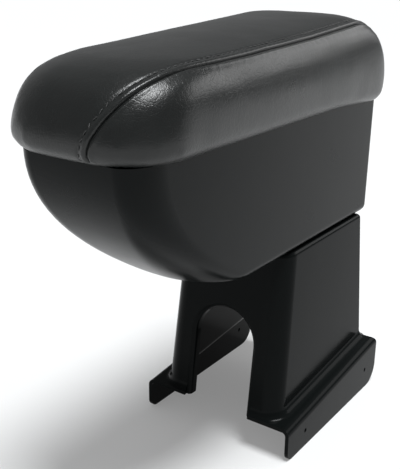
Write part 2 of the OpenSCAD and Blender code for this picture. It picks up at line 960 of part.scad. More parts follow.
module hinge_backing_strip() {
  color("gray")
    difference() {
      translate([-hinge_l / 2, bin_rear - bin_wall - wall_lean - strip_t - soft_gap / 2,
        bin_screw_z - strip_w / 2])
        cube([hinge_l, strip_t, strip_w]);
      hinge_bin_screw_holes(hinge_screw_r + screw_gap);
    }
}

mounting_base();
storage_bin();
bin_mat();
bin_screws();
bin_washers();
clamp_plate();
lock_nuts();
hinge_leaf_bin();
hinge_backing_strip();
hinge_bin_screws();
hinge_pin();
hinge_leaf_lid();
hinge_lid_screws();
lid_board();
lid_foam();
cover_centre_panel();
cover_side_panel(-1);  // cover_side_panel_left
cover_side_panel(1);  // cover_side_panel_right
lid_lining();
lining_screws();
bump_stops();
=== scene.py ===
"""Car centre armrest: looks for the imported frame. A padded leatherette lid with sewn seams, a moulded
storage bin with a swept prow, and a glossy moulded saddle base, with a studio stage and a camera."""

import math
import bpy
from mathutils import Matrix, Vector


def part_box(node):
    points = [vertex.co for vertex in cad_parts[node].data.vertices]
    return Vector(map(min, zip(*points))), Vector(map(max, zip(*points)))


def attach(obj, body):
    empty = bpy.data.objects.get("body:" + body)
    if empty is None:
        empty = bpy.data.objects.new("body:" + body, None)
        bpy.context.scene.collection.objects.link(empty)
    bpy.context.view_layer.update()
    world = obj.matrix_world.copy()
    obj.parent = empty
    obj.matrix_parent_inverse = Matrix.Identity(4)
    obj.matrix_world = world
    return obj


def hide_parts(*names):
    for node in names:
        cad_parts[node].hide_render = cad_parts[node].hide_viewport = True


bl_info = {
    "name": "Car centre armrest",
    "version": (1, 0, 0),
    "blender": (4, 5, 0),
    "location": "3D View > Sidebar > Armrest",
    "description": "Models the lid, bin and base of a car centre armrest around its packed frame",
    "category": "Object",
}

import bmesh
import bpy
from mathutils import Matrix, Vector, noise
from mathutils.bvhtree import BVHTree

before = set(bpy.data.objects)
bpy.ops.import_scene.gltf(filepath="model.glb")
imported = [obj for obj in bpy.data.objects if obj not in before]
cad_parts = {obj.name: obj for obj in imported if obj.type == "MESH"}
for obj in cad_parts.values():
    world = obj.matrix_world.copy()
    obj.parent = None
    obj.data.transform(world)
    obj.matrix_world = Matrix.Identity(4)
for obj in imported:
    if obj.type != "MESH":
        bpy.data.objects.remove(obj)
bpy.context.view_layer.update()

MM = 0.001
LID_BODY = "lid"
BASE_BODY = "base"
COVER_NODES = ("cover_centre_panel", "cover_side_panel_left", "cover_side_panel_right")
SHARP_ANGLE = math.radians(50)
REACH = 0.4  # beyond every piece

base_low, base_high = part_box("mounting_base")
bin_low, bin_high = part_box("storage_bin")
cover_low, cover_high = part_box("cover_centre_panel")
side_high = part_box("cover_side_panel_right")[1]


def length(name, text, default, low=0.0, high=1.0):
    """A length property in metres."""
    return bpy.props.FloatProperty(
        name=name, description=text, default=default, min=low, max=high, unit="LENGTH", precision=5
    )


def mm(name, text, default):
    """A length property, with its default in millimetres."""
    return length(name, text, default * MM)


def share(name, text, default, low=0.0, high=1.0):
    """A plain number between two limits."""
    return bpy.props.FloatProperty(
        name=name, description=text, default=default, min=low, max=high, subtype="FACTOR"
    )


def colour(name, text, default):
    """A linear colour property."""
    return bpy.props.FloatVectorProperty(
        name=name, description=text, default=default, size=3, min=0.0, max=1.0, subtype="COLOR"
    )


def angle(name, text, degrees):
    """An angle property, with its default in degrees."""
    return bpy.props.FloatProperty(name=name, description=text, default=math.radians(degrees), subtype="ANGLE")


class LidSettings(bpy.types.PropertyGroup):
    """Sizes and colours of the padded lid."""

    half_length: length("Half length", "Half of the lid's length", cover_high.y)
    half_width: length("Half width", "Half of the lid's width", side_high.x)
    bottom: length("Bottom", "Height of the lid's underside", cover_low.z)
    roll_in: mm("Roll-in", "How far the lower edge rolls in", 9.5)
    roll_height: mm("Roll height", "Height of the rolled lower edge", 9.5)
    front_height: mm("Front height", "Pad height at its front", 51)
    rear_height: mm("Rear height", "Pad height at its rear", 63.5)
    front_corner: mm("Front corners", "Plan radius of the front corners", 42)
    rear_corner: mm("Rear corners", "Plan radius of the rear corners", 26)
    front_nose: mm("Front nose", "Length of the rounding at the pad's front", 50)
    rear_nose: mm("Rear nose", "Length of the rounding at the pad's rear", 80)
    front_bulge: mm("Front bulge", "How far the padded edge bulges at the front corners", 2.2)
    crown: mm("Crown", "Extra height of the padded top", 0.9)
    edge_drop: mm("Edge drop", "How far the padded edge hangs down over the rim", 1.6)
    edge_hang: mm("Edge hang", "Fall of the lower edge at the rear corners", 4.2)
    seam_x: mm("Seam", "Distance of each seam from the centre plane", 50)
    seam_front_x: mm("Right seam at front", "Distance of the right seam from the centre plane", 21)
    seam_left_x: mm("Left seam at front", "Distance of the left seam from the centre plane", 57)
    seam_rear_x: mm("Seam at rear", "Distance of each seam from the centre plane at the rear", 30)
    seam_front_l: mm("Front curve", "Length over which the seams draw in at the front", 58)
    seam_rear_l: mm("Rear curve", "Length over which the seams draw in at the rear", 50)
    seam_depth: mm("Seam depth", "Depth of the sewn groove", 1.5)
    seam_roll: mm("Panel edge roll", "Height of the rolled panel edge beside the seam", 0.7)
    pucker: mm("Pucker", "Height of the puckers between stitches", 0.14)
    stitch_offset: mm("Stitch offset", "Distance of the stitches from the seam", 5.6)
    stitch_length: mm("Stitch length", "Length of one stitch", 3.6)
    stitch_gap: mm("Stitch gap", "Gap between two stitches", 1.3)
    leather: colour("Leatherette", "Colour of the cover", (0.0075, 0.0088, 0.0085))
    thread: colour("Thread", "Colour of the stitches", (0.03, 0.031, 0.031))


class BinSettings(bpy.types.PropertyGroup):
    """Sizes and colours of the storage bin."""

    half_width: length("Half width", "Half of the bin's width at its rim", bin_high.x)
    front: length("Front", "Place of the prow's rim", bin_low.y, -1.0)
    rear: length("Rear", "Place of the rear wall", cover_high.y - 6 * MM)
    bottom: length("Bottom", "Height of the bin's floor", bin_low.z)
    rim: length("Rim", "Height of the bin's rim", bin_high.z)
    wall: mm("Wall", "Wall thickness", 3)
    prow: mm("Prow", "How far the prow's foot lies behind its rim", 85.6)
    prow_power: share("Prow curve", "Steepness of the prow's curve", 2.04, 1.0, 4.0)
    rim_width: mm("Rim corner width", "Width of the prow's corner curves at the rim", 17)
    rim_length: mm("Rim corner length", "Length of the prow's corner curves at the rim", 27)
    foot_width: mm("Foot corner width", "Width of the bow's corner curves at the floor", 46.9)
    foot_length: mm("Foot corner length", "Length of the bow's corner curves at the floor", 36.3)
    draft: mm("Draft", "Inward draft of each wall", 0.5)
    edge: mm("Lower edge", "Rounding of the lower edge", 6.5)
    rear_corner: mm("Rear corners", "Radius of the rear corners", 8)
    swell: mm("Swell", "How far the rear swell stands out", 5)
    plastic: colour("Plastic", "Colour of the bin", (0.006, 0.0072, 0.0072))


class BaseSettings(bpy.types.PropertyGroup):
    """Sizes and colours of the mounting base."""

    half_width: length("Half width", "Half of the width over the flanges", base_high.x)
    front: length("Front", "Place of the ledge's front edge", base_low.y, -1.0)
    rear: length("Rear", "Place of the ledge's rear edge", base_high.y)
    top: length("Top", "Height of the tower's top", base_high.z)
    wall: mm("Wall", "Wall thickness", 3)
    tower_half: mm("Tower half width", "Half of the tower's width at its top", 48.5)
    tower_front: mm("Tower front", "Set-back of the tower's top from the front edge", 19)
    tower_rear: mm("Tower rear", "Set-back of the tower's top from the rear edge", 13)
    front_flare: mm("Front flare", "Flare of the front wall", 16)
    side_flare: mm("Side flare", "Flare of each side wall", 4.5)
    rear_flare: mm("Rear flare", "Flare of the rear wall", 8)
    corner: mm("Front corners", "Radius of the tower's front corners", 14)
    rear_corner: mm("Rear corners", "Radius of the tower's rear corners", 4)
    ledge_front: mm("Ledge front", "Height of the ledge at its front", 27)
    ledge_rear: mm("Ledge rear", "Height of the ledge at its rear", 42.3)
    cove: mm("Cove", "Radius of the cove at the tower's sides", 7)
    cove_end: mm("Cove reach", "Reach of the cove at the front and rear walls", 3)
    fold: mm("Fold", "Radius of the fold between ledge and flange", 6)
    arch_half: mm("Arch half width", "Half width of the arch", 26)
    arch_top: mm("Arch height", "Height of the arch's crown", 105.5)
    arch_rim: mm("Arch rim", "Depth of the arch's turned-in rim", 8)
    plastic: colour("Plastic", "Colour of the base", (0.0045, 0.0055, 0.0055))


class StageSettings(bpy.types.PropertyGroup):
    """Camera, light and floor."""

    camera_place: bpy.props.FloatVectorProperty(
        name="Camera", description="Place of the camera", size=3, subtype="TRANSLATION",
        default=(0.30648, -0.46053, 0.36833),
    )
    azimuth: angle("Azimuth", "Turn of the view to the right of the front", 35.26)
    elevation: angle("Elevation", "Tilt of the view downwards", 19.96)
    roll: angle("Roll", "Roll of the camera", 0.55)
    focal: bpy.props.FloatProperty(
        name="Focal length", description="Focal length on a 36 mm frame", default=61.96, min=20.0, max=200.0,
        unit="CAMERA",
    )
    shift: share("Shift", "Sideways shift of the frame", 0.0039, -0.1, 0.1)
    overhead: share("Overhead light", "Strength of the overhead light", 3.3, 0.0, 10.0)
    overhead_angle: angle("Overhead size", "Apparent size of the overhead light", 22)
    softbox: bpy.props.FloatProperty(
        name="Rear softbox", description="Power of the soft light behind", default=8.0, min=0.0, max=100.0,
        unit="POWER",
    )
    floor: colour("Floor", "Colour of the floor", (0.6, 0.6, 0.6))


# Small helpers for modelling


def deselect_all():
    """Goes to object mode with nothing selected."""
    if bpy.context.object and bpy.context.object.mode != "OBJECT":
        bpy.ops.object.mode_set(mode="OBJECT")
    bpy.ops.object.select_all(action="DESELECT")


def select_only(piece):
    """Makes one object the only selected and the active one."""
    deselect_all()
    piece.select_set(True)
    bpy.context.view_layer.objects.active = piece


def arc(cx, cy, r, a0, a1, n):
    """Points of an arc in the plane, in degrees."""
    steps = [math.radians(a0 + (a1 - a0) * i / n) for i in range(n + 1)]
    return [(cx + r * math.cos(a), cy + r * math.sin(a)) for a in steps]


def straight(p, q, n):
    """Points strictly between p and q."""
    return [(p[0] + (q[0] - p[0]) * i / n, p[1] + (q[1] - p[1]) * i / n) for i in range(1, n)]


def outline(hw, y0, y1, rf, rr, corner=12, side=20, end=8):
    """Outline with round corners, with points along its straight stretches too."""
    corners = [
        arc(hw - rf, y0 + rf, rf, -90, 0, corner),
        arc(hw - rr, y1 - rr, rr, 0, 90, corner),
        arc(rr - hw, y1 - rr, rr, 90, 180, corner),
        arc(rf - hw, y0 + rf, rf, 180, 270, corner),
    ]
    counts = (side, end, side, end)
    points = []
    for k, points_here in enumerate(corners):
        following = corners[(k + 1) % 4]
        points += points_here + straight(points_here[-1], following[0], counts[k])
    return points


def ring(points, z, slope=0.0):
    """An outline lifted on to a plane that rises along Y."""
    return [Vector((x, y, z + slope * y)) for x, y in points]


def key(co):
    """A vertex's place, rounded, to find it again."""
    return tuple(round(c * 1e7) for c in co)


def add_loft(name, rings):
    """A solid grown from a circle: its loop is laid on the first ring, then extruded to each next one."""
    deselect_all()
    bpy.ops.mesh.primitive_circle_add(vertices=len(rings[0]), radius=0.1)
    piece = bpy.context.object
    piece.name = name
    piece.data.name = name
    for vertex, co in zip(piece.data.vertices, rings[0]):
        vertex.co = piece.matrix_world.inverted() @ co
    bpy.ops.object.mode_set(mode="EDIT")
    bpy.ops.mesh.select_mode(type="EDGE")
    bpy.ops.mesh.select_all(action="SELECT")
    bpy.ops.mesh.edge_face_add()
    bpy.ops.mesh.select_mode(type="EDGE")
    select_loop(piece, rings[0])
    for previous, following in zip(rings, rings[1:]):
        bpy.ops.mesh.extrude_edges_move()
        edit = bmesh.from_edit_mesh(piece.data)
        place = {key(a): b for a, b in zip(previous, following)}
        for vertex in edit.verts:
            if vertex.select:
                vertex.co = place[key(vertex.co)]
        bmesh.update_edit_mesh(piece.data)
    bpy.ops.mesh.edge_face_add()
    bpy.ops.mesh.select_all(action="SELECT")
    bpy.ops.mesh.normals_make_consistent(inside=False)
    bpy.ops.object.mode_set(mode="OBJECT")
    return piece


def select_loop(piece, loop):
    """Selects the edges of one loop of places in edit mode, and nothing else."""
    edit = bmesh.from_edit_mesh(piece.data)
    wanted = {key(co) for co in loop}
    for face in edit.faces:
        face.select = False
    for edge in edit.edges:
        edge.select = all(key(v.co) in wanted for v in edge.verts)
    edit.select_flush_mode()
    bmesh.update_edit_mesh(piece.data)


def select_faces(piece, wanted):
    """Goes to edit mode with the faces selected that pass a test."""
    select_only(piece)
    bpy.ops.object.mode_set(mode="EDIT")
    bpy.ops.mesh.select_mode(type="FACE")
    bpy.ops.mesh.select_all(action="DESELECT")
    edit = bmesh.from_edit_mesh(piece.data)
    for face in edit.faces:
        face.select = wanted(face)
    bmesh.update_edit_mesh(piece.data)


def apply_modifier(piece, kind, **settings):
    """Adds a modifier, sets it and applies it."""
    select_only(piece)
    modifier = piece.modifiers.new(kind.title(), kind)
    for name, value in settings.items():
        setattr(modifier, name, value)
    bpy.ops.object.modifier_apply(modifier=modifier.name)


def soften_edges(piece, width):
    """Gives a piece's sharp edges a small moulded rounding."""
    apply_modifier(piece, "BEVEL", width=width, segments=2, limit_method="ANGLE", angle_limit=SHARP_ANGLE)


def combine(piece, other, operation):
    """Joins another solid to a piece, or cuts it out, and removes the other."""
    apply_modifier(piece, "BOOLEAN", operation=operation, object=other, solver="EXACT")
    bpy.data.objects.remove(other)
    if not piece.data.polygons:
        raise RuntimeError(f"nothing is left of {piece.name} after {operation.lower()}")


def smooth(piece, degrees=32):
    """Shades a piece smooth, with edges sharper than an angle kept crisp."""
    select_only(piece)
    bpy.ops.object.shade_smooth_by_angle(angle=math.radians(degrees))


def finish_piece(piece, body, slot, material, *nodes):
    """Gives a finished piece its material and its body, and hides the nodes that it stands for."""
    piece.data.materials.clear()
    piece.data.materials.append(material)
    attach(piece, body)
    if nodes:
        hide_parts(*nodes)
    deselect_all()


# Materials

PEBBLE_SCALE, CREASE_SCALE = 760.0, 300.0
LEATHER_ROUGHNESS, LEATHER_SPECULAR = (0.27, 0.34), 0.45


class Nodes:
    """Short calls for a material's node tree."""

    def __init__(self, name):
        self.material = bpy.data.materials.new(name)
        self.material.use_nodes = True
        self.tree = self.material.node_tree
        self.shader = self.tree.nodes["Principled BSDF"]
        self.place = self.add("ShaderNodeTexCoord").outputs["Object"]

    def add(self, kind, **settings):
        """Adds a node; settings name its properties or its input sockets."""
        node = self.tree.nodes.new(kind)
        for name, value in settings.items():
            if hasattr(node, name):
                setattr(node, name, value)
            else:
                node.inputs[name.replace("_", " ")].default_value = value
        return node

    def link(self, output, target):
        """Links an output to an input socket."""
        self.tree.links.new(output, target)

    def look(self, **values):
        """Sets or links input sockets of the shader; _ stands for a space in a socket's name."""
        for name, value in values.items():
            socket = self.shader.inputs[name.replace("_", " ")]
            if isinstance(value, bpy.types.NodeSocket):
                self.link(value, socket)
            else:
                socket.default_value = value

    def noise(self, scale, detail=3.0, roughness=0.5):
        """A noise texture's value."""
        node = self.add("ShaderNodeTexNoise", Scale=scale, Detail=detail, Roughness=roughness)
        self.link(self.place, node.inputs["Vector"])
        return node.outputs["Fac"]

    def remap(self, value, low, high, to_low=0.0, to_high=1.0):
        """Maps one range of values to another."""
        node = self.add("ShaderNodeMapRange")
        for socket, number in zip(node.inputs[1:5], (low, high, to_low, to_high)):
            socket.default_value = number
        self.link(value, node.inputs[0])
        return node.outputs[0]

    def bump(self, height, strength, distance, normal=None):
        """A bump from a height value, on top of another normal where one is given."""
        node = self.add("ShaderNodeBump", Strength=strength, Distance=distance)
        self.link(height, node.inputs["Height"])
        if normal:
            self.link(normal, node.inputs["Normal"])
        return node.outputs["Normal"]

    def mix(self, factor, first, second):
        """A mix of two colours by a factor."""
        node = self.add("ShaderNodeMix", data_type="RGBA")
        node.inputs[6].default_value = (*first, 1.0)
        node.inputs[7].default_value = (*second, 1.0)
        self.link(factor, node.inputs[0])
        return node.outputs[2]


def scaled(rgb, factor):
    """A colour made lighter or darker."""
    return tuple(min(1.0, c * factor) for c in rgb)


def leatherette(name, rgb):
    """Black leatherette: pebble grain, drawn creases, worn sheen."""
    n = Nodes(name)
    warp = n.add("ShaderNodeTexNoise", Scale=60.0, Detail=2.0)
    n.link(n.place, warp.inputs["Vector"])
    bend = n.add("ShaderNodeVectorMath", operation="MULTIPLY_ADD")
    bend.inputs[1].default_value = (0.004, 0.004, 0.004)
    n.link(warp.outputs["Color"], bend.inputs[0])
    n.link(n.place, bend.inputs[2])
    cells = n.add("ShaderNodeTexVoronoi", feature="DISTANCE_TO_EDGE", Scale=PEBBLE_SCALE)
    n.link(bend.outputs[0], cells.inputs["Vector"])
    grain = n.remap(cells.outputs["Distance"], 0.0, 0.22)
    creases = n.add("ShaderNodeTexVoronoi", feature="DISTANCE_TO_EDGE", Scale=CREASE_SCALE)
    n.link(bend.outputs[0], creases.inputs["Vector"])
    folds = n.remap(creases.outputs["Distance"], 0.0, 0.09)
    patches = n.noise(26.0, 4.0, 0.55)
    drawn = n.remap(patches, 0.42, 0.66)
    n.look(Base_Color=n.mix(drawn, scaled(rgb, 0.86), scaled(rgb, 1.2)))
    n.look(Roughness=n.remap(patches, 0.3, 0.7, *LEATHER_ROUGHNESS))
    low = n.bump(n.noise(45.0), strength=0.22, distance=0.0012)
    middle = n.bump(folds, 0.2, 0.0002, low)
    fine = n.bump(grain, 0.18, 0.00014, middle)
    n.look(Normal=fine, Specular_IOR_Level=LEATHER_SPECULAR)
    return n.material


def moulded_plastic(name, rgb, roughness, orange_peel, grain, specular):
    """Moulded black plastic: slight waviness, fine grain and faint handling marks in its gloss."""
    n = Nodes(name)
    handled = n.noise(18.0, 5.0, 0.6)
    n.look(Base_Color=n.mix(handled, scaled(rgb, 0.9), scaled(rgb, 1.12)))
    n.look(Roughness=n.remap(handled, 0.3, 0.7, roughness - 0.03, roughness + 0.04))
    wave = n.bump(n.noise(70.0, 1.0), orange_peel, 0.0006)
    fine = n.bump(n.noise(1500.0, 2.0), grain, 0.00008, wave)
    n.look(Normal=fine, Specular_IOR_Level=specular)
    return n.material


def plated_steel(name, rgb, roughness, metallic=1.0):
    """Plated steel with rolling marks and a slightly blotched finish."""
    n = Nodes(name)
    blotch = n.noise(160.0, 4.0)
    n.look(Base_Color=n.mix(blotch, scaled(rgb, 0.82), scaled(rgb, 1.1)))
    n.look(Roughness=n.remap(blotch, 0.3, 0.7, roughness - 0.06, roughness + 0.08))
    n.look(Normal=n.bump(n.noise(900.0, 2.0), 0.15, 0.0001), Metallic=metallic)
    return n.material


def soft_rubber(name, rgb):
    """Matt rubber with a fine moulded grain."""
    n = Nodes(name)
    dust = n.noise(90.0, 5.0)
    n.look(Base_Color=n.mix(dust, scaled(rgb, 0.85), scaled(rgb, 1.25)))
    n.look(Normal=n.bump(n.noise(1800.0, 2.0), 0.3, 0.00012), Roughness=0.75)
    return n.material


def sewing_thread(name, rgb):
    """Black thread: twisted plies across each stitch."""
    n = Nodes(name)
    plies = n.add("ShaderNodeTexWave", Scale=700.0, Distortion=1.0, bands_direction="DIAGONAL")
    n.link(n.place, plies.inputs["Vector"])
    n.look(Base_Color=n.mix(plies.outputs["Fac"], scaled(rgb, 0.7), scaled(rgb, 1.3)))
    n.look(Normal=n.bump(plies.outputs["Fac"], 0.4, 0.0001), Roughness=0.5)
    return n.material


# Lid

PAD_SIDE_POWER = 4.1
PAD_NOSE_POWER = 2.2
NOSE_SHARE = 0.6
SEAM_POWER = 1.3
ROLL_STEPS = (1.0, 0.985, 0.95, 0.88, 0.78, 0.64, 0.48, 0.3, 0.12)
PAD_STEPS = (0.0, 0.12, 0.24, 0.36, 0.47, 0.57, 0.66, 0.74, 0.81, 0.865, 0.91, 0.945, 0.968, 0.984, 0.994)
PAD_SHRINK = 0.5 * MM
PAD_VOXEL = 4.8 * MM
PAD_PUFF_CAP = 2.2 * MM
CLOTH_FRAMES = 20
CLOTH_PRESSURE = 4.0
CLOTH_STIFFNESS = 25
CLOTH_BENDING = 2.0
PIN_REACH = 7 * MM
SEAM_BANDS = ((-10 * MM, 7 * MM), (-7.5 * MM, 4 * MM), (-1.8 * MM, 1.8 * MM))
RIM_LINE_X, RIM_LINE_Y, RIM_LINE_CORNER = 43 * MM, 146 * MM, 28 * MM
# Centre and width, in mm across the seam, of what the sewing draws
SEWN_FROM, SEWN_TO = -16, 14
GROOVE, CENTRE_ROLL, SIDE_ROLL = (0, 0.75), (-2.4, 1.7), (1.8, 1.5)
PUCKERS, GATHERS = (-5.2, 2.6), (4.0, 3.0)
SINK_DEPTH, SINK_WIDTH = 0.42 * MM, 0.9
HOLLOW_SCALE, HOLLOW_DEPTH = 22, 0.35 * MM
DRAW_SCALES, DRAW_DEPTH = (70, 45, 90), 0.12 * MM
EDGE_ZONE = 24
HANG_FROM, HANG_TO = 60 * MM, 152 * MM
CROWN_FROM, CROWN_TO = -130 * MM, -20 * MM
BULGE_BEHIND, BULGE_GROWTH = 100 * MM, 35 * MM
BULGE = (9, 11)
THREAD_RADIUS = 0.36 * MM
THREAD_BEND, THREAD_END, THREAD_DIP = 0.28, 0.55, 0.4 * MM
PATH_STEPS, PATH_TRIES = 1500, 8


def left_at(h, power):
    """Share of its full size that a superellipse has left at height share h."""
    return (1 - h**power) ** (1 / power)


def pad_roll_ring(s, v, inset):
    """Ring of the pad's lower edge: v is 0 at the widest place and 1 at the bottom."""
    e = s.roll_in * (1 - math.sqrt(max(0.0, 1 - v * v))) + inset
    points = outline(
        s.half_width - e, e - s.half_length, s.half_length - e, s.front_corner - e / 2, s.rear_corner - e / 2
    )
    return ring(points, s.bottom + s.roll_height - v * (s.roll_height - inset))


def pad_ring(s, h, inset):
    """Ring of the pad's upper part at height share h."""
    rise = s.rear_height - s.front_height
    slope = rise / (2 * s.half_length - NOSE_SHARE * (s.front_nose + s.rear_nose))
    ex = s.half_width * (1 - left_at(h, PAD_SIDE_POWER)) + inset
    round_off = 1 - left_at(h, PAD_NOSE_POWER)
    y0 = s.front_nose * round_off + inset - s.half_length
    y1 = s.half_length - s.rear_nose * round_off - inset
    hw = max(s.half_width - ex, 4 * MM)
    rf = min(hw - MM, s.front_corner - ex / 3)
    rr = min(hw - MM, s.rear_corner - ex / 3)
    tall = (s.front_height + s.rear_height) / 2 - s.roll_height - inset
    z = s.bottom + s.roll_height + tall * h
    return ring(outline(hw, y0, y1, rf, rr), z, slope * h)


def seam_x(s, co):
    """Distance of the seams from the centre plane near a point, and how fast it grows along both ends."""
    low = co.z - s.bottom
    front_x = s.seam_front_x if co.x > 0 else s.seam_left_x
    x = s.seam_x
    slopes = []
    for y, reach, end_x in ((co.y, s.seam_front_l, front_x), (-co.y, s.seam_rear_l, s.seam_rear_x)):
        run = max(0.0, s.half_length + y + low) / reach
        drawn = (s.seam_x - end_x) * math.exp(-(run**SEAM_POWER))
        x -= drawn
        slopes.append(drawn * SEAM_POWER * run ** (SEAM_POWER - 1) / reach)
    return x, *slopes


def seam_distance(s, co, normal):
    """Distance along the surface from the nearest seam: negative on the centre panel."""
    x, slope_front, slope_rear = seam_x(s, co)
    growth = Vector((math.copysign(1.0, co.x), slope_rear - slope_front, -slope_front - slope_rear))
    growth -= normal * growth.dot(normal)
    return (abs(co.x) - x) / max(growth.length, 0.2)


def puff(piece, s):
    """Blows the pad up a little by a cloth simulation, held at its underside and seams."""
    rest = [v.co.copy() for v in piece.data.vertices]
    pins = piece.vertex_groups.new(name="held")
    for v in piece.data.vertices:
        under = v.co.z < s.bottom + 3 * MM
        near = max(0.0, 1 - abs(seam_distance(s, v.co, v.normal)) / PIN_REACH)
        weight = 1.0 if under else near
        if weight > 0:
            pins.add([v.index], weight, "REPLACE")
    cloth = piece.modifiers.new("Cloth", "CLOTH")
    cloth.settings.use_pressure = True
    cloth.settings.uniform_pressure_force = CLOTH_PRESSURE
    cloth.settings.effector_weights.gravity = 0.0
    cloth.settings.vertex_group_mass = "held"
    cloth.settings.tension_stiffness = CLOTH_STIFFNESS
    cloth.settings.compression_stiffness = CLOTH_STIFFNESS
    cloth.settings.bending_stiffness = CLOTH_BENDING
    cloth.point_cache.frame_start = 1
    cloth.point_cache.frame_end = CLOTH_FRAMES
    for step in range(1, CLOTH_FRAMES + 1):
        bpy.context.scene.frame_set(step)
    select_only(piece)
    bpy.ops.object.modifier_apply(modifier="Cloth")
    bpy.context.scene.frame_set(1)
    for v, start in zip(piece.data.vertices, rest):
        moved = v.co - start
        if moved.length > PAD_PUFF_CAP:
            v.co = start + moved.normalized() * PAD_PUFF_CAP
    piece.vertex_groups.clear()


def refine_seams(piece, s):
    """Subdivides the faces beside the seams, so that the sewn groove is real geometry."""
    for low, high in SEAM_BANDS:

        def near_seam(face, low=low, high=high):
            middle = face.calc_center_median()
            return middle.z > s.bottom + MM and low < seam_distance(s, middle, face.normal) < high

        select_faces(piece, near_seam)
        bpy.ops.mesh.subdivide(number_cuts=1, smoothness=0.0)
        bpy.ops.object.mode_set(mode="OBJECT")


def over_underside(piece, s, height):
    """The vertices above a height over the lid's underside, each with its normal."""
    piece.data.update()
    pairs = [(v, v.normal.copy()) for v in piece.data.vertices]
    return [(v, normal) for v, normal in pairs if v.co.z >= s.bottom + height]


def bell(value, centre, width):
    """A bell curve, 1 at its centre."""
    return math.exp(-(((value - centre) / width) ** 2))


def sew_seams(piece, s):
    """Draws the groove, the rolled panel edges and the puckers of the top stitching into the mesh."""
    pitch = s.stitch_length + s.stitch_gap
    for v, normal in over_underside(piece, s, MM):
        d = seam_distance(s, v.co, normal) / MM
        if not SEWN_FROM < d < SEWN_TO:
            continue
        groove = -s.seam_depth * bell(d, *GROOVE)
        edge = s.seam_roll * (bell(d, *CENTRE_ROLL) if d < 0 else 0.5 * bell(d, *SIDE_ROLL))
        sunk = -SINK_DEPTH * bell(d, -s.stitch_offset / MM, SINK_WIDTH)
        along = v.co.y - v.co.z if v.co.y < 0 else v.co.y + v.co.z
        loose = noise.noise(Vector((along * 90, 0.7, 3.0)))
        beat = math.sin(2 * math.pi * along / pitch + 2.5 * loose)
        pucker = s.pucker * beat * bell(d, *PUCKERS) * (0.7 + 0.8 * loose)
        gather = s.pucker * 0.5 * math.sin(2 * math.pi * along / (1.7 * pitch) + 4 * loose)
        gather *= bell(d, *GATHERS) * (0.5 + loose)
        v.co += normal * (groove + edge + sunk + pucker + gather)


def relax_creases(piece, s):
    """Adds the soft hollows and draws that a stretched cover shows."""
    for v, normal in over_underside(piece, s, 2 * MM):
        slow = noise.noise(v.co * HOLLOW_SCALE + Vector((4.0, 1.0, 7.0)))
        quick = noise.noise(Vector([c * scale for c, scale in zip(v.co, DRAW_SCALES)]))
        v.co += normal * (HOLLOW_DEPTH * slow + DRAW_DEPTH * quick)


def ramp(value, low, high):
    """Smooth step from 0 at low to 1 at high."""
    t = max(0.0, min(1.0, (value - low) / (high - low)))
    return t * t * (3 - 2 * t)


def rim_distance(co):
    """Distance of a point outside a line that runs 5 mm inside the bin's rim, past its sides and front."""
    x = abs(co.x) - RIM_LINE_X + RIM_LINE_CORNER
    y = -co.y - RIM_LINE_Y + RIM_LINE_CORNER
    if x > 0 and y > 0:
        return math.hypot(x, y) - RIM_LINE_CORNER
    return max(x, y) - RIM_LINE_CORNER


def settle_padding(piece, s):
    """Lets the padded edge hang over the rim and bulge at the front corners, and fills the top a little."""
    for v in piece.data.vertices:
        high = (v.co.z - s.bottom) / MM
        low = 1 - ramp(high, 0, EDGE_ZONE)
        over = rim_distance(v.co)
        hang = s.edge_hang * ramp(v.co.y, HANG_FROM, HANG_TO) * ramp(over, 0, 8 * MM)
        drop = s.edge_drop * (ramp(over, 0, 6 * MM) + ramp(over, 5.5 * MM, 8.5 * MM))
        v.co.z -= (hang + drop) * low
        v.co.z += s.crown * ramp(high, 20, 45) * ramp(v.co.y, CROWN_FROM, CROWN_TO)
        ahead = Vector((v.co.x, v.co.y + BULGE_BEHIND, 0))
        if ahead.y < 0:
            bulge = s.front_bulge * bell(high, *BULGE) * ramp(-ahead.y, 0, BULGE_GROWTH)
            v.co += ahead.normalized() * bulge


def seam_path(piece, s, side, offset):
    """Points on the pad's surface beside one seam, up the front, over the top and down the rear."""
    tree = surface_of(piece)
    path = []
    x = s.seam_front_x if side > 0 else s.seam_left_x
    for i in range(PATH_STEPS + 1):
        angle = math.pi * (i / PATH_STEPS * 1.1 - 0.05)
        way = Vector((0, math.cos(angle), -math.sin(angle)))
        for _ in range(PATH_TRIES):
            start = Vector((side * x, 0, s.bottom + 18 * MM)) - way * REACH
            hit, normal, _, _ = tree.ray_cast(start, way)
            if not hit:
                break
            away = seam_distance(s, hit, normal) - offset
            x -= 0.8 * away
        if hit and hit.z > s.bottom + 4 * MM and abs(away) < 0.5 * MM:
            path.append((hit, normal))
    return path


def surface_of(piece):
    """A search tree of a piece's surface."""
    return BVHTree.FromObject(piece, bpy.context.evaluated_depsgraph_get())


def spaced(path, pitch):
    """Points of a path at an even pitch, each with its normal and the way along."""
    places = []
    wanted = 0.0
    run = 0.0
    for (a, na), (b, _) in zip(path, path[1:]):
        step = (b - a).length
        while step > 0 and run + step >= wanted:
            part = (wanted - run) / step
            places.append((a.lerp(b, part), na, (b - a).normalized()))
            wanted += pitch
        run += step
    return places


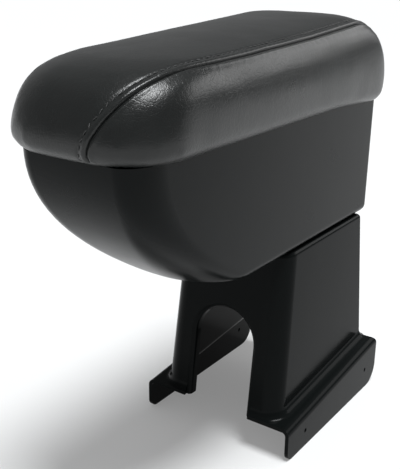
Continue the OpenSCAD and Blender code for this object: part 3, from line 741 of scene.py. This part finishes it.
def stitch_mesh(s):
    """One stitch: a small rod, pulled down at both ends, along X."""
    deselect_all()
    bpy.ops.mesh.primitive_cylinder_add(
        vertices=7, radius=THREAD_RADIUS, depth=s.stitch_length, end_fill_type="NGON"
    )
    stitch = bpy.context.object
    bpy.ops.object.mode_set(mode="EDIT")
    bpy.ops.mesh.select_all(action="SELECT")
    bpy.ops.transform.rotate(value=math.pi / 2, orient_axis="Y", center_override=(0, 0, 0))
    for bend in (THREAD_BEND, -THREAD_BEND):
        bpy.ops.mesh.select_all(action="SELECT")
        bpy.ops.mesh.bisect(plane_co=(bend * s.stitch_length, 0, 0), plane_no=(1, 0, 0))
    bpy.ops.object.mode_set(mode="OBJECT")
    half = s.stitch_length / 2
    for v in stitch.data.vertices:
        if abs(v.co.x) > 0.9 * half:
            v.co.z = v.co.z * THREAD_END - THREAD_DIP
            v.co.y *= THREAD_END
    return stitch


def stitch_row(pad, s, side):
    """The row of top stitches beside one seam: one stitch, copied along the seam and joined."""
    pattern = stitch_mesh(s)
    path = seam_path(pad, s, side, -s.stitch_offset)
    copies = []
    for place, normal, way in spaced(path, s.stitch_length + s.stitch_gap):
        across = normal.cross(way).normalized()
        up = way.cross(across).normalized()
        turn = Matrix((way, across, up)).transposed().to_4x4()
        stitch = pattern.copy()
        stitch.data = pattern.data.copy()
        bpy.context.scene.collection.objects.link(stitch)
        stitch.matrix_world = Matrix.Translation(place + up * 0.2 * MM) @ turn
        copies.append(stitch)
    bpy.data.objects.remove(pattern)
    if not copies:
        raise RuntimeError("no stitch found its place along the seam")
    deselect_all()
    for stitch in copies:
        stitch.select_set(True)
    row = copies[0]
    bpy.context.view_layer.objects.active = row
    bpy.ops.object.join()
    bpy.ops.object.transform_apply(location=True, rotation=True, scale=True)
    row.name = "top_stitches_right" if side > 0 else "top_stitches_left"
    row.data.name = row.name
    return row


class ARMREST_OT_lid_cover(bpy.types.Operator):
    """Models the padded, sewn leatherette cover with its stitches"""

    bl_idname = "armrest.lid_cover"
    bl_label = "Lid cover"

    def execute(self, context):
        s = context.scene.armrest_lid
        rings = [pad_roll_ring(s, v, PAD_SHRINK) for v in ROLL_STEPS]
        rings += [pad_ring(s, h, PAD_SHRINK) for h in PAD_STEPS]
        pad = add_loft("lid_cover", rings)
        apply_modifier(pad, "REMESH", mode="VOXEL", voxel_size=PAD_VOXEL)
        apply_modifier(pad, "SMOOTH", factor=0.5, iterations=2)
        puff(pad, s)
        apply_modifier(pad, "SUBSURF", levels=1, render_levels=1)
        settle_padding(pad, s)
        relax_creases(pad, s)
        refine_seams(pad, s)
        sew_seams(pad, s)
        select_only(pad)
        bpy.ops.object.shade_smooth()
        finish_piece(pad, LID_BODY, "leatherette", leatherette("black_leatherette", s.leather), *COVER_NODES)
        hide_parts("lid_foam")
        thread = sewing_thread("black_thread", s.thread)
        for side in (-1, 1):
            finish_piece(stitch_row(pad, s, side), LID_BODY, "leatherette", thread)
        return {"FINISHED"}


# Bin

# Heights of the bin's rings above its floor, in mm
BIN_STEPS = (
    0, 0.2, 0.5, 0.9, 1.4, 2, 2.7, 3.5, 4.4, 5.4, 6.5, 8, 10, 12.5, 15, 18, 21, 25, 29, 33, 38, 43, 48,
    53, 59, 65, 71, 77, 83, 89, 95, 99.5,
)
BOW_POWER, BOW_STEPS = 2.23, 24
PROW_EDGE_SHARE = 0.5
REAR_EDGE_SHARE = 0.4
SWELL_RADIUS, SWELL_LIFT = 9 * MM, 2 * MM


def edge_inset(h, r):
    """Inset of a rounded lower edge at height h above the floor."""
    return 0.0 if h >= r else r - math.sqrt(r * r - (r - h) ** 2)


def bow_outline(hw, y0, y1, rx, ry, rr):
    """Outline with elliptical front corners, which grow to a bow at the floor."""
    turns = [math.radians(90 * i / BOW_STEPS - 90) for i in range(BOW_STEPS + 1)]
    right = [(hw - rx + rx * math.cos(a), y0 + ry + ry * math.sin(a)) for a in turns]
    left = [(-x, y) for x, y in reversed(right)]
    rear_right = arc(hw - rr, y1 - rr, rr, 0, 90, 8)
    rear_left = arc(rr - hw, y1 - rr, rr, 90, 180, 8)
    points = right + straight(right[-1], rear_right[0], 20) + rear_right
    points += straight(rear_right[-1], rear_left[0], 14) + rear_left
    return points + straight(rear_left[-1], left[0], 20) + left + straight(left[-1], right[0], 10)


def bin_ring(s, h):
    """Ring of the bin's outside at height h above its floor."""
    t = h / (s.rim - s.bottom)
    e = edge_inset(h, s.edge)
    hw = s.half_width - s.draft * (1 - t) - e
    y0 = s.front + s.prow * (1 - t) ** s.prow_power + PROW_EDGE_SHARE * e
    y1 = s.rear - s.draft * (1 - t) - REAR_EDGE_SHARE * e
    grown = (1 - t) ** BOW_POWER
    rx = min(s.rim_width + (s.foot_width - s.rim_width) * grown, hw - MM)
    ry = s.rim_length + (s.foot_length - s.rim_length) * grown
    return ring(bow_outline(hw, y0, y1, rx, ry, s.rear_corner), s.bottom + h)


def push_swell(piece, s):
    """Pushes the foot of the rear wall out into its moulded swell."""
    middle = s.bottom + SWELL_RADIUS + SWELL_LIFT
    reach = s.half_width - 4 * MM
    for v in piece.data.vertices:
        dz = v.co.z - middle
        if v.co.y < s.rear - 6 * MM or abs(dz) > SWELL_RADIUS:
            continue
        round_up = math.sqrt(max(0.0, SWELL_RADIUS**2 - dz**2)) / SWELL_RADIUS
        fade = max(0.0, min(1.0, (reach - abs(v.co.x)) / SWELL_RADIUS))
        fade = math.sin(fade * math.pi / 2)
        v.co.y += (s.swell + s.draft) * fade * round_up**0.7


class ARMREST_OT_storage_bin(bpy.types.Operator):
    """Models the moulded storage bin with its swept prow"""

    bl_idname = "armrest.storage_bin"
    bl_label = "Storage bin"

    def execute(self, context):
        s = context.scene.armrest_bin
        piece = add_loft("bin_shell", [bin_ring(s, min(h * MM, s.rim - s.bottom)) for h in BIN_STEPS])
        push_swell(piece, s)
        open_top(piece, s.rim)
        apply_modifier(piece, "SOLIDIFY", thickness=s.wall, offset=-1.0, use_even_offset=True)
        soften_edges(piece, 0.7 * MM)
        smooth(piece, 40)
        apply_modifier(piece, "WEIGHTED_NORMAL", keep_sharp=True)
        look = {"roughness": 0.24, "orange_peel": 0.06, "grain": 0.1, "specular": 0.09}
        plastic = moulded_plastic("bin_plastic", s.plastic, **look)
        finish_piece(piece, BASE_BODY, "bin_plastic", plastic, "storage_bin")
        return {"FINISHED"}


def open_top(piece, z):
    """Deletes the face that the loft ends in, so that the bin is open."""
    select_faces(piece, lambda face: len(face.verts) > 4 and face.calc_center_median().z > z - MM)
    bpy.ops.mesh.delete(type="ONLY_FACE")
    bpy.ops.object.mode_set(mode="OBJECT")


# Base

CUTTER_START = 40 * MM
CUTTER_END = 20 * MM
MOUTH_ROUNDING = 3.6 * MM
TOWER_ROUNDING = 3.5 * MM
HOLE_RADIUS = 1.75 * MM
DRILL_LENGTH = 0.3
SKIRT_FOOT = -0.2
BLOCK_HALF = 0.1
UNDER_ARCH = -30 * MM
UNDER_FLOOR = -10 * MM
HOLE_FRONT, HOLE_FRONT_Z = 27 * MM, 14 * MM
HOLE_REAR, HOLE_REAR_Z = 21.5 * MM, 18 * MM


def ledge_slope(s):
    """Rise of the ledge along Y."""
    return (s.ledge_rear - s.ledge_front) / (s.rear - s.front)


def tower_ring(s, t, out, drop, inset):
    """Ring of the tower at height share t from its foot on the ledge to its top."""
    foot = s.ledge_front - ledge_slope(s) * s.front
    hw = s.tower_half + s.side_flare * (1 - t) + out - inset
    end_out = out * s.cove_end / s.cove if out > 0 else out
    y0 = s.front + s.tower_front - s.front_flare * (1 - t) - end_out + inset
    y1 = s.rear - s.tower_rear + s.rear_flare * (1 - t) + end_out - inset
    rf = s.corner + out - inset
    rr = max(s.rear_corner + out - inset, 0.5 * MM)
    points = outline(hw, y0, y1, rf, rr, 14, 4, 4)
    return ring(points, (1 - t) * foot + t * s.top + drop, ledge_slope(s) * (1 - t))


def tower_solid(s, inset):
    """The tower with its cove and its rounded top edge."""
    foot = s.ledge_front - ledge_slope(s) * s.front
    cove_t = s.cove / (s.top - foot)
    top_t = TOWER_ROUNDING / (s.top - foot)
    turns = [math.radians(a) for a in range(0, 91, 15)]
    rings = [tower_ring(s, 0, s.cove, -s.wall - inset, inset)]
    for a in turns:
        out = s.cove * (1 - math.sin(a))
        rings.append(tower_ring(s, cove_t * (1 - math.cos(a)), out, -inset - 0.05 * MM, inset))
    for a in turns:
        drawn_in = TOWER_ROUNDING * (1 - math.cos(a))
        rings.append(tower_ring(s, 1 - top_t * (1 - math.sin(a)), -drawn_in, -inset, inset))
    return add_loft("tower", rings)


def skirt_solid(s, inset, longer):
    """The ledge and flanges as a long upside-down U, tilted with the ledge."""
    r = s.fold - inset
    hw = s.half_width - inset
    section = [(-hw, SKIRT_FOOT), (hw, SKIRT_FOOT)]
    section += arc(hw - r, -inset - r, r, 0, 90, 10) + arc(r - hw, -inset - r, r, 90, 180, 10)
    slope = ledge_slope(s)
    angle = math.atan(slope)
    origin = Vector((0, s.front, s.ledge_front))
    along = Vector((0, math.cos(angle), math.sin(angle)))
    up = Vector((0, -math.sin(angle), math.cos(angle)))
    rings = []
    for d in (-longer, (s.rear - s.front) + longer):
        rings.append([origin + along * d + up * z + Vector((x, 0, 0)) for x, z in section])
    return add_loft("skirt", rings)


def side_view_solid(s):
    """A block with the skirt's side view: round lower and rear corners."""
    front_r, rear_r, top_r = 7 * MM, 16 * MM, 7 * MM
    points = arc(s.front + front_r, front_r, front_r, 180, 270, 10)
    points += arc(s.rear - rear_r, rear_r, rear_r, 270, 360, 14)
    points += arc(s.rear - top_r, s.ledge_rear - top_r, top_r, 0, 80, 10)
    points += [(s.front, s.ledge_front + MM)]
    rings = [[Vector((x, y, z)) for y, z in points] for x in (-BLOCK_HALF, BLOCK_HALF)]
    return add_loft("side_view", rings)


def slab(low, high):
    """A block wider than the base, between two heights."""
    plan = [(-REACH, -REACH), (REACH, -REACH), (REACH, REACH), (-REACH, REACH)]
    return add_loft("slab", [ring(plan, z) for z in (low, high)])


def arch_outline(s, r):
    """The arch's outline with half width r, standing on a line below the floor."""
    centre = s.arch_top - s.arch_half
    return [(r, UNDER_ARCH)] + arc(0, centre, r, 0, 180, 28) + [(-r, UNDER_ARCH)]


def arch_solid(s, profile):
    """A solid through the front wall: profile gives pairs of depth behind the outer face and half width."""
    lean = math.atan(s.front_flare / (s.top - s.ledge_front))
    foot = s.front + s.tower_front - s.front_flare * s.top / (s.top - s.ledge_front)
    deep = Vector((0, math.cos(lean), -math.sin(lean)))
    up = Vector((0, math.sin(lean), math.cos(lean)))
    rings = []
    for depth, r in profile:
        origin = Vector((0, foot, 0)) + deep * depth
        rings.append([origin + up * z + Vector((x, 0, 0)) for x, z in arch_outline(s, r)])
    return add_loft("arch", rings)


def flared_mouth(s):
    """Depths and half widths of the arch cutter, with a rounded mouth."""
    flare = MOUTH_ROUNDING
    profile = [(-CUTTER_START, s.arch_half + flare)]
    for a in range(90, -1, -18):
        turn = math.radians(a)
        profile.append((flare * (1 - math.sin(turn)), s.arch_half + flare * (1 - math.cos(turn))))
    return profile + [(s.arch_rim + CUTTER_END, s.arch_half)]


class ARMREST_OT_mounting_base(bpy.types.Operator):
    """Models the moulded saddle base with its arch, ledge and screw flanges"""

    bl_idname = "armrest.mounting_base"
    bl_label = "Mounting base"

    def execute(self, context):
        s = context.scene.armrest_base
        shell = skirt_solid(s, inset=0.0, longer=50 * MM)
        combine(shell, side_view_solid(s), "INTERSECT")
        combine(shell, tower_solid(s, 0.0), "UNION")
        inner = skirt_solid(s, inset=s.wall, longer=60 * MM)
        combine(inner, slab(UNDER_FLOOR, s.ledge_rear + 5 * MM), "INTERSECT")
        combine(shell, inner, "DIFFERENCE")
        combine(shell, tower_solid(s, s.wall), "DIFFERENCE")
        lip = arch_solid(s, [(0.4 * MM, s.arch_half + s.wall), (s.arch_rim, s.arch_half + s.wall)])
        combine(lip, slab(s.ledge_front - s.wall, REACH), "INTERSECT")
        combine(shell, lip, "UNION")
        combine(shell, arch_solid(s, flared_mouth(s)), "DIFFERENCE")
        drill_flanges(shell, s)
        shell.name = "base_shell"
        shell.data.name = "base_shell"
        apply_modifier(shell, "WELD", merge_threshold=0.02 * MM)
        soften_edges(shell, 0.6 * MM)
        smooth(shell, 35)
        apply_modifier(shell, "WEIGHTED_NORMAL", keep_sharp=True)
        look = {"roughness": 0.16, "orange_peel": 0.08, "grain": 0.05, "specular": 0.05}
        plastic = moulded_plastic("base_plastic", s.plastic, **look)
        finish_piece(shell, BASE_BODY, "base_plastic", plastic, "mounting_base")
        return {"FINISHED"}


def drill_flanges(shell, s):
    """Drills the screw holes through both flanges."""
    for y, z in ((s.front + HOLE_FRONT, HOLE_FRONT_Z), (s.rear - HOLE_REAR, HOLE_REAR_Z)):
        deselect_all()
        bpy.ops.mesh.primitive_cylinder_add(
            vertices=24, radius=HOLE_RADIUS, depth=DRILL_LENGTH, location=(0, y, z),
            rotation=(0, math.pi / 2, 0),
        )
        drill = bpy.context.object
        bpy.ops.object.transform_apply(location=True, rotation=True, scale=True)
        combine(shell, drill, "DIFFERENCE")


# Carried-over pieces

STEEL_COLOUR = (0.5, 0.5, 0.51)
BLACK_STEEL_COLOUR = (0.05, 0.05, 0.052)
RUBBER_COLOUR = (0.02, 0.02, 0.02)
LINING_COLOUR = (0.02, 0.0205, 0.021)


class ARMREST_OT_hardware(bpy.types.Operator):
    """Gives the hinge, screws, lining, stops, mat and clamp plate their materials"""

    bl_idname = "armrest.hardware"
    bl_label = "Hardware"

    def execute(self, context):
        steel = plated_steel("zinc_steel", STEEL_COLOUR, roughness=0.34)
        black = plated_steel("black_steel", BLACK_STEEL_COLOUR, roughness=0.42, metallic=0.8)
        rubber = soft_rubber("black_rubber", RUBBER_COLOUR)
        look = {"roughness": 0.5, "orange_peel": 0.05, "grain": 0.5, "specular": 0.4}
        inner = moulded_plastic("inner_plastic", LINING_COLOUR, **look)
        finishes = {
            steel: ("bin_screws", "bin_washers", "lock_nuts", "hinge_bin_screws", "hinge_pin",
                    "hinge_lid_screws", "lining_screws"),
            black: ("clamp_plate", "hinge_leaf_bin", "hinge_backing_strip", "hinge_leaf_lid"),
            rubber: ("bin_mat", "bump_stops"),
            inner: ("lid_board", "lid_lining"),
        }
        for material, names in finishes.items():
            for name in names:
                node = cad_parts[name]
                node.data.materials.clear()
                node.data.materials.append(material)
        deselect_all()
        return {"FINISHED"}


# Stage

OVERHEAD_WAY = (0.2, -0.02, 0.975)
SOFTBOX_PLACE = (0.85, 1.55, 1.05)
SOFTBOX_AIM = (0, 0, 0.15)
SOFTBOX_WIDTH, SOFTBOX_HEIGHT = 1.3, 0.8
FLOOR_SIZE = 14.0
SURROUND = 0.3
FLOOR_GLOW = 0.22
LAMP_COLOUR = (0.97, 0.99, 1.0)
SURROUND_COLOUR = (0.98, 0.99, 1.0, 1.0)


def camera_axes(s):
    """The camera's right, up and view directions."""
    az, el, roll = s.azimuth, s.elevation, s.roll
    view = Vector((-math.sin(az) * math.cos(el), math.cos(az) * math.cos(el), -math.sin(el)))
    right = Vector((math.cos(az), math.sin(az), 0))
    up = right.cross(view)
    return (
        right * math.cos(roll) + up * math.sin(roll),
        up * math.cos(roll) - right * math.sin(roll),
        view,
    )


def put(name, data, place, turn):
    """Adds a camera or light to the scene, at a place and with a turn."""
    item = bpy.data.objects.new(name, data)
    item.matrix_world = Matrix.Translation(Vector(place)) @ turn.to_4x4()
    bpy.context.scene.collection.objects.link(item)
    return item


def add_camera(s):
    """The camera, at the photo's viewing angle."""
    data = bpy.data.cameras.new("camera")
    data.sensor_width = 36.0
    data.sensor_fit = "AUTO"
    data.lens = s.focal
    data.shift_x = s.shift
    right, up, view = camera_axes(s)
    turn = Matrix((right, up, -view)).transposed()
    bpy.context.scene.camera = put("camera", data, s.camera_place, turn)


def add_overhead(s):
    """A wide, distant overhead light, which lights the floor evenly and casts a soft shadow."""
    data = bpy.data.lights.new("overhead", "SUN")
    data.energy = s.overhead
    data.angle = s.overhead_angle
    data.color = LAMP_COLOUR
    put("overhead", data, (0, 0, 0), Vector(OVERHEAD_WAY).to_track_quat("Z", "Y").to_matrix())


def add_rear_softbox(s):
    """A large soft light behind on the right, which draws thin lights along the rounded edges."""
    data = bpy.data.lights.new("rear_softbox", "AREA")
    data.energy = s.softbox
    data.shape = "RECTANGLE"
    data.size = SOFTBOX_WIDTH
    data.size_y = SOFTBOX_HEIGHT
    way = Vector(SOFTBOX_PLACE) - Vector(SOFTBOX_AIM)
    put("rear_softbox", data, SOFTBOX_PLACE, way.to_track_quat("Z", "Y").to_matrix())


def studio_world():
    """A plain pale grey surround."""
    world = bpy.data.worlds.new("studio")
    bpy.context.scene.world = world
    world.use_nodes = True
    background = world.node_tree.nodes["Background"]
    background.inputs["Color"].default_value = SURROUND_COLOUR
    background.inputs["Strength"].default_value = SURROUND


def seen_rays(tree):
    """1 where the camera looks, straight on or by a reflection or clear piece, and 0 for diffuse light."""
    rays = tree.nodes.new("ShaderNodeLightPath")
    total = rays.outputs["Is Camera Ray"]
    for name in ("Is Glossy Ray", "Is Transmission Ray"):
        plus = tree.nodes.new("ShaderNodeMath")
        plus.operation = "ADD"
        tree.links.new(total, plus.inputs[0])
        tree.links.new(rays.outputs[name], plus.inputs[1])
        total = plus.outputs[0]
    return total


def floor_material(rgb):
    """Pale matt floor, seen as white away from the object's shadow."""
    n = Nodes("pale_floor")
    n.look(Base_Color=(*rgb, 1.0), Roughness=0.9, Specular_IOR_Level=0.0)
    n.look(Emission_Color=(1.0, 1.0, 1.0, 1.0))
    n.look(Emission_Strength=n.remap(seen_rays(n.tree), 0.0, 1.0, 0.0, FLOOR_GLOW))
    return n.material


class ARMREST_OT_stage(bpy.types.Operator):
    """Sets up the camera, the floor and the studio light"""

    bl_idname = "armrest.stage"
    bl_label = "Stage"

    def execute(self, context):
        s = context.scene.armrest_stage
        add_camera(s)
        studio_world()
        deselect_all()
        bpy.ops.mesh.primitive_plane_add(size=FLOOR_SIZE, location=(0, 0, 0))
        floor = bpy.context.object
        floor.name = "floor"
        floor.data.materials.append(floor_material(s.floor))
        add_overhead(s)
        add_rear_softbox(s)
        context.scene.view_settings.view_transform = "Standard"
        if not context.scene.camera:
            raise RuntimeError("the scene has no camera")
        deselect_all()
        return {"FINISHED"}


class ARMREST_PT_panel(bpy.types.Panel):
    """Lists the armrest's operators and sizes"""

    bl_idname = "ARMREST_PT_panel"
    bl_label = "Armrest"
    bl_space_type = "VIEW_3D"
    bl_region_type = "UI"
    bl_category = "Armrest"

    def draw(self, context):
        for operator in OPERATORS:
            self.layout.operator(operator.bl_idname)
        for settings in SETTINGS:
            group = getattr(context.scene, settings)
            for name in group.bl_rna.properties.keys():
                if name not in ("rna_type", "name"):
                    self.layout.prop(group, name)


OPERATORS = (
    ARMREST_OT_stage,
    ARMREST_OT_mounting_base,
    ARMREST_OT_storage_bin,
    ARMREST_OT_lid_cover,
    ARMREST_OT_hardware,
)
SETTINGS = {
    "armrest_lid": LidSettings,
    "armrest_bin": BinSettings,
    "armrest_base": BaseSettings,
    "armrest_stage": StageSettings,
}


def register():
    """Registers the settings, the operators and the panel."""
    for name, group in SETTINGS.items():
        bpy.utils.register_class(group)
        setattr(bpy.types.Scene, name, bpy.props.PointerProperty(type=group))
    for operator in OPERATORS:
        bpy.utils.register_class(operator)
    bpy.utils.register_class(ARMREST_PT_panel)


def unregister():
    """Removes what register added."""
    bpy.utils.unregister_class(ARMREST_PT_panel)
    for operator in reversed(OPERATORS):
        bpy.utils.unregister_class(operator)
    for name, group in SETTINGS.items():
        delattr(bpy.types.Scene, name)
        bpy.utils.unregister_class(group)


def main():
    """Builds everything in order."""
    register()
    bpy.ops.armrest.stage()
    bpy.ops.armrest.mounting_base()
    bpy.ops.armrest.storage_bin()
    bpy.ops.armrest.lid_cover()
    bpy.ops.armrest.hardware()


if __name__ == "__main__":
    main()
